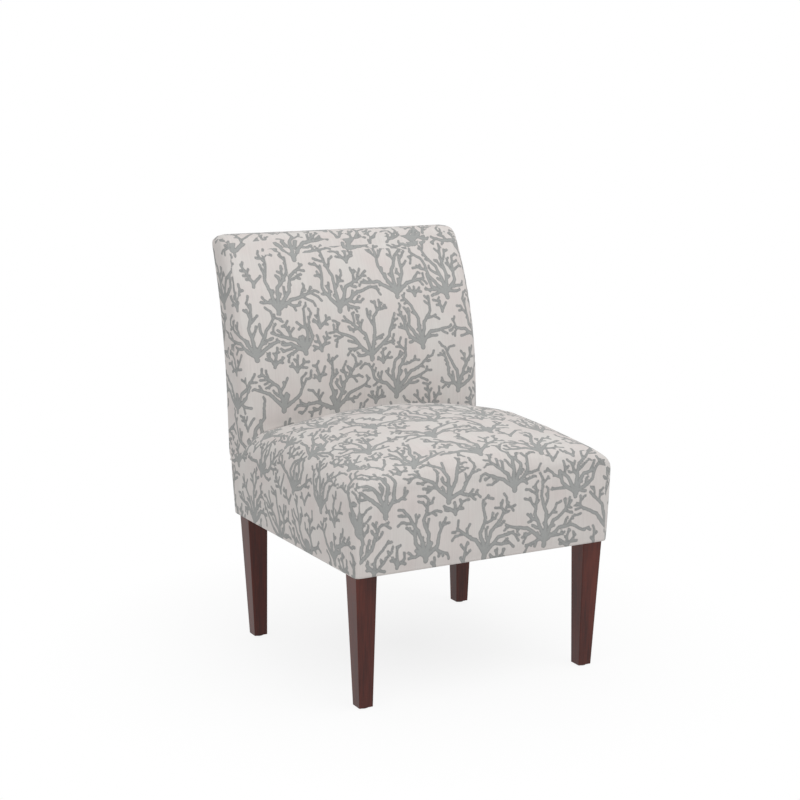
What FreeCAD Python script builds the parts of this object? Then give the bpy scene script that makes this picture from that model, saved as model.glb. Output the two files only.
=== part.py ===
import FreeCAD, Part
import math
import os

# Slipper chair without arms, all sizes in millimetres.
# X runs across the chair, the front faces -Y and Z is up, with the floor at 0.
# Distances called depth are measured from the front of the seat towards the back.

# Legs
leg_height = 264.0
leg_top_width = 44.0
leg_outer_taper = 12.0
leg_inner_taper = 3.0
leg_side_inset = 5.0
leg_front_inset = 8.5
leg_rear_inset = 18.0
leg_edge_radius = 2.0
glide_diameter = 20.0
glide_thickness = 3.0
glide_nail_diameter = 3.0
glide_nail_length = 18.0
bolt_diameter = 8.0
bolt_length_in_leg = 38.0
bolt_length_above_leg = 32.0
insert_diameter = 11.0
insert_length = 20.0

# Seat form
seat_width = 560.0
seat_depth = 562.0
side_bulge = 5.0
crown_height = 502.0
crown_depth = 290.0
front_roll_radius = 55.0
front_roll_height = 425.0
rear_roll_radius = 95.0
rear_roll_height = 375.0
shoulder_radius = 75.0
shoulder_rise = 22.0
edge_radius = 6.0
edge_rise = 1.5
corner_radius = 8.0
seat_fullness = 0.8
roll_turn = math.radians(64)
roll_spacing = 1.3
roll_steps = 5

# Back form
back_side_setback = 2.0
back_height = 843.0
back_bottom_height = 372.0
back_lean_slope = 0.05
back_seat_overlap = 69.0
front_bend_height = 520.0
front_top_sweep = 83.0
back_overhang = 23.5
rear_bend_height = 500.0
rear_top_sweep = 55.0
back_crown = 5.0
top_front_radius = 30.0
top_rear_radius = 16.0
bottom_rear_radius = 15.0
back_side_radius = 22.0
back_rear_edge_radius = 8.0
back_edge_steps = 4
least_roll_radius = 3.0
least_edge_radius = 1.0

# Cloth, batting and boards
cover_thickness = 1.6
cover_turn_under = 36.0
seat_batting_thickness = 8.0
seat_batting_hem_rise = 16.0
back_batting_thickness = 7.0
rear_panel_margin = 22.0
rear_panel_top_margin = 28.0
rear_board_thickness = 2.0
rear_board_margin = 14.0
rear_board_top_margin = 28.0
dust_cover_thickness = 0.8
dust_cover_margin = 12.0
deck_cloth_thickness = 1.0
layer_gap = 0.3

# Frame
ply_thickness = 16.0
frame_side_inset = 4.5
frame_rail_height = 96.0
post_width = 45.0
post_foot_radius = 40.0
post_top_clearance = 15.0
back_rail_thickness = 22.0
bottom_rail_height = 455.0
middle_rail_height = 612.0
back_rail_width = 50.0
top_rail_width = 42.0
corner_block_side = 72.0
corner_block_nose = 22.0
corner_block_thickness = 34.0
tenon_length = 11.0
tenon_thickness = 8.0
tenon_shoulder = 12.0
screw_diameter = 4.0
screw_length = 40.0
screw_head_diameter = 8.0
screw_head_thickness = 3.0
screw_depth_in_ply = 14.0
screw_corner_distance = 52.0
screw_height_in_block = 17.0

# Webbing
strap_width = 50.0
strap_thickness = 1.2
strap_ramp = 8.0
strap_gap = 0.2
lengthwise_straps = 5
crosswise_straps = 5
back_straps = 4
first_back_strap_height = 515.0
back_strap_pitch = 72.0

# Clearances
bolt_clearance = 0.3
leg_cloth_clearance = 1.5
post_slit_clearance = 0.5
webbing_edge_margin = 8.0
joint_clearance = 0.1
post_room_rise = 4.0

# Worked out from the sizes above
seat_bottom = leg_height
seat_half = seat_width / 2 + side_bulge
back_half = seat_half - back_side_setback
front_face_depth = seat_depth - back_seat_overlap
rear_face_depth = seat_depth + back_overhang
rail_bottom = seat_bottom + cover_thickness + layer_gap
rail_top = rail_bottom + frame_rail_height
frame_half = seat_width / 2 - frame_side_inset
inner_half = frame_half - ply_thickness
frame_front = frame_side_inset
frame_rear = seat_depth - frame_side_inset
post_rear_inset = cover_thickness + rear_board_thickness + 2 * layer_gap
post_front_inset = post_rear_inset + post_width
seat_rail_depths = (frame_front, frame_rear - ply_thickness)
strap_top = rail_top + 2 * strap_thickness + strap_gap
deck_bottom = strap_top + layer_gap
deck_top = deck_bottom + deck_cloth_thickness
rear_window_reach = 3 * cover_thickness
beyond = 100.0

lean = math.atan(back_lean_slope)
along = (math.sin(lean), math.cos(lean))
backward = (math.cos(lean), -math.sin(lean))


class Curve:
    """A face of the back seen from the side: straight below, then an arc that leans backward."""

    def __init__(self, depth, height, radius):
        self.depth = depth
        self.height = height
        self.radius = radius
        self.centre_depth = depth + radius * backward[0]
        self.centre_height = height + radius * backward[1]

    def moved(self, distance):
        """The same curve, moved backward by a distance square to itself."""
        depth = self.depth + distance * backward[0]
        height = self.height + distance * backward[1]
        return Curve(depth, height, self.radius - distance)

    def at_height(self, height):
        """Depth of the curve at a height."""
        if height < self.height:
            return self.depth + (height - self.height) * back_lean_slope
        rise = height - self.centre_height
        return self.centre_depth - math.sqrt(self.radius ** 2 - rise ** 2)


def sweep_radius(bend_height, sweep):
    """Radius of the arc that leans a face backward by its sweep between its bend and the top."""
    reach = back_height - bend_height
    return (reach ** 2 + sweep ** 2) / (2 * sweep)


front_face = Curve(front_face_depth, front_bend_height, sweep_radius(front_bend_height, front_top_sweep))
rear_face = Curve(rear_face_depth, rear_bend_height, sweep_radius(rear_bend_height, rear_top_sweep))


def top_rear_centre(curve, top, radius):
    """Centre of the circle that rounds the rear face into the top."""
    height = top - radius
    reach = curve.radius + radius
    rise = height - curve.centre_height
    return curve.centre_depth - math.sqrt(reach ** 2 - rise ** 2), height


def top_front_centre(curve, top, radius):
    """Centre of the circle that rounds the front face into the top."""
    height = top - radius
    reach = curve.radius - radius
    rise = height - curve.centre_height
    return curve.centre_depth - math.sqrt(reach ** 2 - rise ** 2), height


rearmost = top_rear_centre(rear_face, back_height, top_rear_radius)[0] + top_rear_radius
origin_depth = rearmost / 2


def point(x, depth, height):
    """A point from its place across, its depth from the seat front and its height."""
    return FreeCAD.Vector(x, depth - origin_depth, height)


def box(x0, x1, depth0, depth1, z0, z1):
    """A box between two corners."""
    return Part.makeBox(x1 - x0, depth1 - depth0, z1 - z0, point(x0, depth0, z0))


def rounded_square(x0, x1, depth0, depth1, height, radius):
    """A level rectangle with rounded corners, as a closed wire."""
    slack = radius * (1 - math.sqrt(0.5))
    return Part.Wire([
        line(point(x0 + radius, depth0, height), point(x1 - radius, depth0, height)),
        arc(point(x1 - radius, depth0, height), point(x1 - slack, depth0 + slack, height),
            point(x1, depth0 + radius, height)),
        line(point(x1, depth0 + radius, height), point(x1, depth1 - radius, height)),
        arc(point(x1, depth1 - radius, height), point(x1 - slack, depth1 - slack, height),
            point(x1 - radius, depth1, height)),
        line(point(x1 - radius, depth1, height), point(x0 + radius, depth1, height)),
        arc(point(x0 + radius, depth1, height), point(x0 + slack, depth1 - slack, height),
            point(x0, depth1 - radius, height)),
        line(point(x0, depth1 - radius, height), point(x0, depth0 + radius, height)),
        arc(point(x0, depth0 + radius, height), point(x0 + slack, depth0 + slack, height),
            point(x0 + radius, depth0, height)),
    ])


def line(a, b):
    return Part.LineSegment(a, b).toShape()


def arc(a, middle, b):
    return Part.Arc(a, middle, b).toShape()


def rod(start, direction, length, diameter):
    """A round rod from a start point along a direction."""
    return Part.makeCylinder(diameter / 2, length, start, direction)


def side_prism(outline, x0, x1):
    """An outline of edges in the side view, pushed across the chair from x0 to x1."""
    face = Part.Face(Part.Wire(outline))
    face.translate(FreeCAD.Vector(x0, 0, 0))
    return face.extrude(FreeCAD.Vector(x1 - x0, 0, 0))


def save(name, shape):
    """Write one piece, or one group of like pieces, under its name."""
    shape.exportStep(os.path.join("parts", name + ".step"))


def quarter_inset(radius, distance):
    """How far a rounded edge is drawn in at a distance from the face beside it."""
    if distance >= radius:
        return 0.0
    return radius - math.sqrt(radius ** 2 - (radius - distance) ** 2)


def roll_profile(depth, inset):
    """Height of the seat's middle line: front roll, crown and rear roll, all tangent."""
    if depth < crown_depth:
        reach = crown_depth - depth
        half = crown_depth - inset
        roll = front_roll_radius - inset
        base = front_roll_height
    else:
        reach = depth - crown_depth
        half = seat_depth - inset - crown_depth
        roll = rear_roll_radius - inset
        base = rear_roll_height
    top = crown_height - inset
    flat = half - roll
    rise = top - base
    crown = (flat ** 2 + rise ** 2 - roll ** 2) / (2 * (rise - roll))
    change = crown * flat / (crown - roll)
    if reach < change:
        return top - crown + math.sqrt(crown ** 2 - reach ** 2), base
    across = min(reach - flat, roll)
    return base + math.sqrt(roll ** 2 - across ** 2), base


def seat_section(depth, inset, bottom):
    """The seat cut across at one depth: bottom, two sides, two shoulders and the crown."""
    top, base = roll_profile(depth, inset)
    top = max(top, base + edge_rise + edge_radius / 2)
    share = min((top - base) / (seat_fullness * (crown_height - inset - base)), 1.0)
    shoulder = edge_radius + (shoulder_radius - inset - edge_radius) * share
    rise = edge_rise + (shoulder_rise - edge_rise) * share
    end_distance = min(depth - inset, seat_depth - inset - depth)
    drawn_in = quarter_inset(corner_radius, max(end_distance, 0.0))
    half = seat_half - inset - drawn_in
    foot = half - side_bulge
    spring = top - shoulder - rise
    flat = half - shoulder
    lift = shoulder + rise
    crown = (flat ** 2 + lift ** 2 - shoulder ** 2) / (2 * rise)
    angle = math.asin(flat / (crown - shoulder))
    change_x = crown * math.sin(angle)
    change_z = top - crown + crown * math.cos(angle)
    middle_angle = (math.pi / 2 - angle) / 2
    middle_x = flat + shoulder * math.cos(middle_angle)
    middle_z = spring + shoulder * math.sin(middle_angle)
    edges = [
        line(point(-foot, depth, bottom), point(foot, depth, bottom)),
        line(point(foot, depth, bottom), point(half, depth, spring)),
        arc(point(half, depth, spring), point(middle_x, depth, middle_z), point(change_x, depth, change_z)),
        arc(point(change_x, depth, change_z), point(0, depth, top), point(-change_x, depth, change_z)),
        arc(point(-change_x, depth, change_z), point(-middle_x, depth, middle_z), point(-half, depth, spring)),
        line(point(-half, depth, spring), point(-foot, depth, bottom)),
    ]
    return Part.Wire(edges)


def seat_depths(inset):
    """Depths of the seat's sections, close together where the front and rear roll over."""
    front = front_roll_radius - inset
    rear = rear_roll_radius - inset
    depths = []
    for step in range(roll_steps):
        turn = roll_turn * (step / (roll_steps - 1)) ** roll_spacing
        depths.append(inset + front * (1 - math.cos(turn)))
    front_end = depths[-1]
    rear_start = seat_depth - inset - rear * (1 - math.cos(roll_turn))
    depths.append((front_end + crown_depth) / 2)
    depths.append(crown_depth)
    depths.append((rear_start + crown_depth) / 2)
    for step in range(roll_steps - 1, -1, -1):
        turn = roll_turn * (step / (roll_steps - 1)) ** roll_spacing
        depths.append(seat_depth - inset - rear * (1 - math.cos(turn)))
    return depths


def seat_form(inset, bottom):
    """The whole upholstered seat, drawn in by an inset all round, down to a bottom height."""
    wires = [seat_section(depth, inset, bottom) for depth in seat_depths(inset)]
    return Part.makeLoft(wires, True, True)


def tangent_point(centre, radius, other):
    """The point of a circle that lies towards another circle's centre."""
    run = other[0] - centre[0]
    rise = other[1] - centre[1]
    share = radius / math.hypot(run, rise)
    return centre[0] + run * share, centre[1] + rise * share


def arc_middle(centre, a, b):
    """The point half way along the short arc from a to b."""
    radius = math.hypot(a[0] - centre[0], a[1] - centre[1])
    halfway = ((a[0] + b[0]) / 2, (a[1] + b[1]) / 2)
    return tangent_point(centre, radius, halfway)


def side_edges(x, pieces):
    """Edges in the side view: a piece is two ends, or two ends and the centre of their arc."""
    edges = []
    for piece in pieces:
        a = point(x, *piece[0])
        b = point(x, *piece[1])
        if len(piece) == 2:
            edges.append(line(a, b))
        else:
            edges.append(arc(a, point(x, *arc_middle(piece[2], piece[0], piece[1])), b))
    return edges


def back_section(x, front_in, rear_in, top_in):
    """The back cut from front to rear at one place across, as nine lines and arcs."""
    front = front_face.moved(front_in)
    rear = rear_face.moved(-rear_in)
    top = back_height - top_in
    bottom = back_bottom_height + top_in
    nose_radius = max(top_front_radius - top_in, least_roll_radius)
    heel_radius = max(top_rear_radius - top_in, least_roll_radius)
    foot_radius = max(bottom_rear_radius - top_in, least_roll_radius)
    front_centre = (front.centre_depth, front.centre_height)
    rear_centre = (rear.centre_depth, rear.centre_height)
    nose = top_front_centre(front, top, nose_radius)
    heel = top_rear_centre(rear, top, heel_radius)
    front_foot = (front.at_height(bottom), bottom)
    front_bend = (front.depth, front.height)
    front_end = tangent_point(front_centre, front.radius, nose)
    nose_top = (nose[0], top)
    heel_top = (heel[0], top)
    rear_end = tangent_point(rear_centre, rear.radius, heel)
    rear_bend = (rear.depth, rear.height)
    foot_high = (rear.at_height(bottom + foot_radius), bottom + foot_radius)
    foot_centre = (foot_high[0] - foot_radius, foot_high[1])
    foot_low = (foot_centre[0], bottom)
    return Part.Wire(side_edges(x, [
        (front_foot, front_bend),
        (front_bend, front_end, front_centre),
        (front_end, nose_top, nose),
        (nose_top, heel_top),
        (heel_top, rear_end, heel),
        (rear_end, rear_bend, rear_centre),
        (rear_bend, foot_high),
        (foot_high, foot_low, foot_centre),
        (foot_low, front_foot),
    ]))


def back_form(inset):
    """The whole upholstered back, drawn in by an inset all round."""
    half = back_half - inset
    radius = back_side_radius - inset
    rear_radius = max(back_rear_edge_radius - inset, least_edge_radius)
    distances = []
    for step in range(back_edge_steps):
        distances.append(radius * (1 - math.cos(math.pi / 2 * step / (back_edge_steps - 1))))
    distances += [half / 2, half]
    wires = []
    for side in (-1, 1):
        row = []
        for distance in distances:
            x = half - distance
            drawn_in = quarter_inset(radius, distance)
            rear_drawn_in = quarter_inset(rear_radius, distance)
            crown = back_crown * (x / half) ** 2
            row.append(back_section(side * x, inset + drawn_in + crown, inset + rear_drawn_in,
                                    inset + drawn_in))
        if side > 0:
            row = row[:-1]
            row.reverse()
        wires += row
    return Part.makeLoft(wires, True, True)


def rear_zone(front_in, rear_in, x0, x1, z0, z1):
    """A band that follows the rear face, between two distances in front of it."""
    front = rear_face.moved(-front_in)
    rear = rear_face.moved(-rear_in)
    bend = front.height
    pieces = []
    if z0 < bend < z1:
        front_ends = [(front.at_height(z), z) for z in (z0, bend, z1)]
        rear_ends = [(rear.at_height(z), z) for z in (z0, rear.height, z1)]
        pieces = [
            (front_ends[0], front_ends[1]),
            (front_ends[1], front_ends[2], (front.centre_depth, front.centre_height)),
            (front_ends[2], rear_ends[2]),
            (rear_ends[2], rear_ends[1], (rear.centre_depth, rear.centre_height)),
            (rear_ends[1], rear_ends[0]),
            (rear_ends[0], front_ends[0]),
        ]
    else:
        low_front = (front.at_height(z0), z0)
        high_front = (front.at_height(z1), z1)
        low_rear = (rear.at_height(z0), z0)
        high_rear = (rear.at_height(z1), z1)
        if z0 >= bend:
            pieces = [
                (low_front, high_front, (front.centre_depth, front.centre_height)),
                (high_front, high_rear),
                (high_rear, low_rear, (rear.centre_depth, rear.centre_height)),
                (low_rear, low_front),
            ]
        else:
            pieces = [
                (low_front, high_front),
                (high_front, high_rear),
                (high_rear, low_rear),
                (low_rear, low_front),
            ]
    return side_prism(side_edges(0, pieces), x0, x1)


def side_frame_outline(grow):
    """Outline of a plywood side frame: the seat's side and the back post in one piece."""
    front = rear_face.moved(-post_front_inset - grow)
    rear = rear_face.moved(-post_rear_inset + grow)
    top = back_height - post_top_clearance + grow
    seat_top = rail_top + grow
    step = back_bottom_height + bottom_rear_radius - grow
    foot = (front.at_height(seat_top) - post_foot_radius, seat_top)
    foot_end = (front.at_height(seat_top + post_foot_radius), seat_top + post_foot_radius)
    foot_centre = (foot[0], seat_top + post_foot_radius)
    return side_edges(0, [
        ((frame_front - grow, rail_bottom - grow), (frame_front - grow, seat_top)),
        ((frame_front - grow, seat_top), foot),
        (foot, foot_end, foot_centre),
        (foot_end, (front.depth, front.height)),
        ((front.depth, front.height), (front.at_height(top), top), (front.centre_depth, front.centre_height)),
        ((front.at_height(top), top), (rear.at_height(top), top)),
        ((rear.at_height(top), top), (rear.depth, rear.height), (rear.centre_depth, rear.centre_height)),
        ((rear.depth, rear.height), (rear.at_height(step), step)),
        ((rear.at_height(step), step), (frame_rear + grow, step)),
        ((frame_rear + grow, step), (frame_rear + grow, rail_bottom - grow)),
        ((frame_rear + grow, rail_bottom - grow), (frame_front - grow, rail_bottom - grow)),
    ])


def side_frame(side, grow=0.0):
    """One plywood side frame, or the room that it needs when grown by a clearance."""
    low = inner_half - grow
    high = frame_half + grow
    if side < 0:
        low, high = -high, -low
    return side_prism(side_frame_outline(grow), low, high)


def leg_place(side, row):
    """Outer corner of a leg's top: its place across, its depth and its inward directions."""
    x = side * (seat_width / 2 - leg_side_inset)
    if row == "front":
        return x, leg_front_inset, -side, 1
    return x, seat_depth - leg_rear_inset, -side, -1


def leg_centre(side, row):
    """Place across and depth of the bolt in a leg's top."""
    x, depth, inward_x, inward_depth = leg_place(side, row)
    return x + inward_x * leg_top_width / 2, depth + inward_depth * leg_top_width / 2


def glide_centre(side, row):
    """Place across and depth of the middle of a leg's foot."""
    x, depth, inward_x, inward_depth = leg_place(side, row)
    middle = (leg_outer_taper + leg_top_width - leg_inner_taper) / 2
    return x + inward_x * middle, depth + inward_depth * middle


def leg(side, row):
    """A square leg that tapers on all four faces, drilled for its bolt and its glide."""
    x, depth, inward_x, inward_depth = leg_place(side, row)

    def outline(outer, inner, height):
        xs = sorted((x + inward_x * outer, x + inward_x * (leg_top_width - inner)))
        depths = sorted((depth + inward_depth * outer, depth + inward_depth * (leg_top_width - inner)))
        return rounded_square(xs[0], xs[1], depths[0], depths[1], height, leg_edge_radius)

    foot = outline(leg_outer_taper, leg_inner_taper, glide_thickness)
    top = outline(0.0, 0.0, leg_height)
    body = Part.makeLoft([foot, top], True, True)
    up = FreeCAD.Vector(0, 0, 1)
    bolt_x, bolt_depth = leg_centre(side, row)
    bolt_hole = rod(point(bolt_x, bolt_depth, leg_height - bolt_length_in_leg - bolt_clearance), up,
                    bolt_length_in_leg + leg_top_width, bolt_diameter + 2 * bolt_clearance)
    nail_x, nail_depth = glide_centre(side, row)
    nail_hole = rod(point(nail_x, nail_depth, 0), up, glide_thickness + glide_nail_length + bolt_clearance,
                    glide_nail_diameter + 2 * bolt_clearance)
    return body.cut(bolt_hole).cut(nail_hole)


def each_corner():
    return [(side, row) for row in ("front", "rear") for side in (-1, 1)]


def foot_glides():
    """A disc with its nail under each leg."""
    up = FreeCAD.Vector(0, 0, 1)
    glides = []
    for side, row in each_corner():
        x, depth = glide_centre(side, row)
        disc = rod(point(x, depth, 0), up, glide_thickness, glide_diameter)
        nail = rod(point(x, depth, 0), up, glide_thickness + glide_nail_length, glide_nail_diameter)
        glides.append(disc.fuse(nail).removeSplitter())
    return Part.makeCompound(glides)


def leg_threaded_inserts():
    up = FreeCAD.Vector(0, 0, 1)
    inserts = []
    for side, row in each_corner():
        x, depth = leg_centre(side, row)
        body = rod(point(x, depth, rail_bottom), up, insert_length, insert_diameter)
        bore = rod(point(x, depth, rail_bottom), up, insert_length, bolt_diameter + 2 * bolt_clearance)
        inserts.append(body.cut(bore))
    return Part.makeCompound(inserts)


def corner_place(side, row):
    """Inner corner of the seat frame, with its inward directions."""
    if row == "front":
        return side * inner_half, frame_front + ply_thickness, -side, 1
    return side * inner_half, frame_rear - ply_thickness, -side, -1


def screw(seat, direction, room):
    """A screw with its head's underside at a seat, or the room that it needs."""
    head_end = screw_head_thickness + room * corner_block_side
    shank = rod(seat, direction, screw_length + room, screw_diameter + 2 * room)
    head = rod(seat - direction * head_end, direction, head_end, screw_head_diameter + 2 * room)
    return shank.fuse(head).removeSplitter()


def block_screws(side, row, room=0.0):
    """The two screws of a corner block: one into the side frame and one into the rail."""
    x, depth, inward_x, inward_depth = corner_place(side, row)
    height = rail_bottom + screw_height_in_block
    reach = screw_length - screw_depth_in_ply
    side_seat = point(x + inward_x * reach, depth + inward_depth * screw_corner_distance, height)
    rail_seat = point(x + inward_x * screw_corner_distance, depth + inward_depth * reach, height)
    return [
        screw(side_seat, FreeCAD.Vector(-inward_x, 0, 0), room),
        screw(rail_seat, FreeCAD.Vector(0, -inward_depth, 0), room),
    ]


def all_block_screws(room=0.0):
    screws = []
    for side, row in each_corner():
        screws += block_screws(side, row, room)
    return Part.makeCompound(screws)


def corner_block(side, row):
    """A five-sided block glued into a corner, with its insert hole and screw holes."""
    x, depth, inward_x, inward_depth = corner_place(side, row)

    def at(along_rail, along_side):
        return point(x + inward_x * along_rail, depth + inward_depth * along_side, rail_bottom)

    corners = [
        at(0, 0),
        at(corner_block_side, 0),
        at(corner_block_side, corner_block_nose),
        at(corner_block_nose, corner_block_side),
        at(0, corner_block_side),
    ]
    body = Part.Face(Part.makePolygon(corners + corners[:1])).extrude(
        FreeCAD.Vector(0, 0, corner_block_thickness))
    bolt_x, bolt_depth = leg_centre(side, row)
    up = FreeCAD.Vector(0, 0, 1)
    body = body.cut(rod(point(bolt_x, bolt_depth, rail_bottom), up, corner_block_thickness, insert_diameter))
    return body.cut(Part.makeCompound(block_screws(side, row, bolt_clearance)))


def back_rail_spans():
    """Lower edge, width and distance in front of the rear face for each rail of the back."""
    top_foot = back_height - post_top_clearance - top_rail_width
    rear_inset = post_front_inset - back_rail_thickness
    return {
        "bottom": (bottom_rail_height, back_rail_width, rear_inset),
        "middle": (middle_rail_height, back_rail_width, rear_inset),
        "top": (top_foot, top_rail_width, post_rear_inset),
    }


def seat_rail_tenon(depth, room=0.0):
    """The tongue through a seat rail that reaches into both side frames."""
    end = inner_half + tenon_length + room
    half = tenon_thickness / 2 + room
    middle = depth + ply_thickness / 2
    return box(-end, end, middle - half, middle + half,
               rail_bottom + tenon_shoulder - room, rail_top - tenon_shoulder + room)


def back_rail_tenon(place, room=0.0):
    """The tongue through a back rail that reaches into both back posts."""
    foot, width, rear_inset = back_rail_spans()[place]
    end = inner_half + tenon_length + room
    half = tenon_thickness / 2 + room
    middle = (post_front_inset + rear_inset) / 2
    return rear_zone(middle + half, middle - half, -end, end,
                     foot + tenon_shoulder - room, foot + width - tenon_shoulder + room)


def jointed(frame):
    """A side frame with the mortises of its rails and with its screw holes."""
    tenons = [seat_rail_tenon(depth, joint_clearance) for depth in seat_rail_depths]
    tenons += [back_rail_tenon(place, joint_clearance) for place in back_rail_spans()]
    return frame.cut(Part.makeCompound(tenons)).cut(all_block_screws(joint_clearance))


def seat_rail(depth):
    rail = box(-inner_half, inner_half, depth, depth + ply_thickness, rail_bottom, rail_top)
    return rail.fuse(seat_rail_tenon(depth)).removeSplitter().cut(all_block_screws(joint_clearance))


def back_rail(place):
    foot, width, rear_inset = back_rail_spans()[place]
    rail = rear_zone(post_front_inset, rear_inset, -inner_half, inner_half, foot, foot + width)
    return rail.fuse(back_rail_tenon(place)).removeSplitter()


def woven_strap(start, end, across, crossings, first_over, runs_back):
    """One webbing strap that passes over and under the straps that cross it."""
    step = strap_thickness + strap_gap
    level = first_over
    line_points = [(start, step / 2)]
    for place in crossings:
        height = step if level else 0.0
        line_points.append((place - strap_width / 2 - strap_ramp / 2, height))
        line_points.append((place + strap_width / 2 + strap_ramp / 2, height))
        level = not level
    line_points.append((end, step / 2))
    low = [(along_strap, rail_top + rise) for along_strap, rise in line_points]
    high = [(along_strap, z + strap_thickness) for along_strap, z in reversed(low)]
    outline = low + high + low[:1]
    half = strap_width / 2
    if runs_back:
        corners = [point(across - half, depth, z) for depth, z in outline]
        push = FreeCAD.Vector(strap_width, 0, 0)
    else:
        corners = [point(x, across - half, z) for x, z in outline]
        push = FreeCAD.Vector(0, strap_width, 0)
    return Part.Face(Part.makePolygon(corners)).extrude(push)


def strap_places(low, high, count):
    pitch = (high - low) / count
    return [low + pitch * (number + 0.5) for number in range(count)]


def seat_webbing(runs_back):
    """The straps of one direction of the seat's interlaced webbing."""
    half = frame_half - webbing_edge_margin
    front = frame_front + webbing_edge_margin / 2
    rear = frame_rear - webbing_edge_margin / 2
    deck_rear = rear_face.moved(-post_front_inset).at_height(rail_top) - post_foot_radius
    across = strap_places(-inner_half, inner_half, lengthwise_straps)
    backward_places = strap_places(frame_front + ply_thickness, deck_rear, crosswise_straps)
    straps = []
    if runs_back:
        for number, x in enumerate(across):
            straps.append(woven_strap(front, rear, x, backward_places, number % 2 == 0, True))
    else:
        for number, depth in enumerate(backward_places):
            straps.append(woven_strap(-half, half, depth, across, number % 2 == 1, False))
    return Part.makeCompound(straps)


def post_room():
    """The room that both back posts need where they pass through the seat's soft layers."""
    above = box(-seat_width, seat_width, -beyond, rearmost + beyond,
                rail_top + post_room_rise, back_height + beyond)
    both = side_frame(-1, post_slit_clearance).fuse(side_frame(1, post_slit_clearance))
    return both.common(above)


def bolt_rods(clearance=0.0):
    """A rod in the place of each leg's hanger bolt."""
    up = FreeCAD.Vector(0, 0, 1)
    length = bolt_length_in_leg + bolt_length_above_leg
    rods = []
    for side, row in each_corner():
        x, depth = leg_centre(side, row)
        rods.append(rod(point(x, depth, leg_height - bolt_length_in_leg), up, length,
                        bolt_diameter + 2 * clearance))
    return Part.makeCompound(rods)


def seat_cover():
    """The cloth over the top, front, sides and rear of the seat, turned under at the bottom."""
    outer = seat_form(0.0, seat_bottom)
    inner = seat_form(cover_thickness, seat_bottom + cover_thickness)
    half = seat_width / 2 - cover_turn_under
    window = box(-half, half, cover_turn_under, seat_depth - cover_turn_under,
                 seat_bottom - cover_thickness, seat_bottom + 2 * cover_thickness)
    return outer.cut(inner).cut(window).cut(bolt_rods(bolt_clearance)).cut(post_room())


def seat_batting():
    """The soft wadding between the cover and the foam, down over the frame's edge."""
    outer_inset = cover_thickness + layer_gap
    inner_inset = outer_inset + seat_batting_thickness
    outer = seat_form(outer_inset, rail_bottom + seat_batting_hem_rise)
    inner = seat_form(inner_inset, rail_bottom)
    frame_room = box(-frame_half - layer_gap, frame_half + layer_gap, frame_front - layer_gap,
                     frame_rear + layer_gap, rail_bottom, deck_top + layer_gap)
    return outer.cut(inner).cut(frame_room).cut(post_room())


def seat_foam():
    """The crowned foam block on the webbing."""
    inset = cover_thickness + seat_batting_thickness + 2 * layer_gap
    return seat_form(inset, deck_top + layer_gap).cut(post_room())


def seat_deck_cloth():
    half = frame_half - webbing_edge_margin
    rear = frame_rear - webbing_edge_margin
    sheet = box(-half, half, frame_front + webbing_edge_margin, rear, deck_bottom, deck_top)
    both = side_frame(-1, post_slit_clearance).fuse(side_frame(1, post_slit_clearance))
    return sheet.cut(both)


def dust_cover():
    """The thin cloth under the seat, cut out round the legs."""
    half = seat_width / 2 - dust_cover_margin
    sheet = box(-half, half, dust_cover_margin, seat_depth - dust_cover_margin,
                seat_bottom - dust_cover_thickness, seat_bottom)
    for side, row in each_corner():
        x, depth = leg_centre(side, row)
        room = leg_top_width / 2 + leg_cloth_clearance
        sheet = sheet.cut(box(x - room, x + room, depth - room, depth + room,
                              seat_bottom - 2 * dust_cover_thickness, seat_bottom + dust_cover_thickness))
    return sheet


def above_seat(shape):
    """What is left of a back layer where the crowned seat pushes up into it."""
    return shape.cut(seat_form(-layer_gap, seat_bottom))


def rear_window(shrink):
    """The part of the back's rear wall that the outside panel closes."""
    half = back_half - rear_panel_margin - shrink
    low = back_bottom_height + rear_panel_margin + shrink
    high = back_height - rear_panel_top_margin - shrink
    return rear_zone(rear_window_reach, -rear_window_reach, -half, half, low, high)


def back_wall():
    return back_form(0.0).cut(back_form(cover_thickness))


def back_batting():
    """The soft wadding over the foam and round the sides and top of the back frame."""
    outer = back_form(cover_thickness + layer_gap)
    inner = back_form(cover_thickness + layer_gap + back_batting_thickness)
    half = frame_half + layer_gap
    frame_room = rear_zone(post_front_inset + layer_gap, -beyond, -half, half, rail_top,
                           back_height - post_top_clearance + layer_gap)
    return above_seat(outer.cut(inner).cut(frame_room))


def back_foam():
    """The foam in front of the back's webbing."""
    inset = cover_thickness + back_batting_thickness + 2 * layer_gap
    behind = rear_zone(post_front_inset + strap_thickness + layer_gap, -beyond, -seat_width, seat_width,
                       rail_top, back_height + beyond)
    return above_seat(back_form(inset).cut(behind))


def back_webbing():
    """Level straps across the front of the back frame."""
    half = frame_half - webbing_edge_margin
    straps = []
    for number in range(back_straps):
        foot = first_back_strap_height + number * back_strap_pitch
        straps.append(rear_zone(post_front_inset + strap_thickness, post_front_inset, -half, half,
                                foot, foot + strap_width))
    return Part.makeCompound(straps)


def outside_back_board():
    """The stiff board between the frame and the outside panel."""
    half = back_half - rear_board_margin
    rear_inset = cover_thickness + layer_gap
    return rear_zone(rear_inset + rear_board_thickness, rear_inset, -half, half,
                     back_bottom_height + bottom_rear_radius + rear_board_margin,
                     back_height - rear_board_top_margin)


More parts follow.
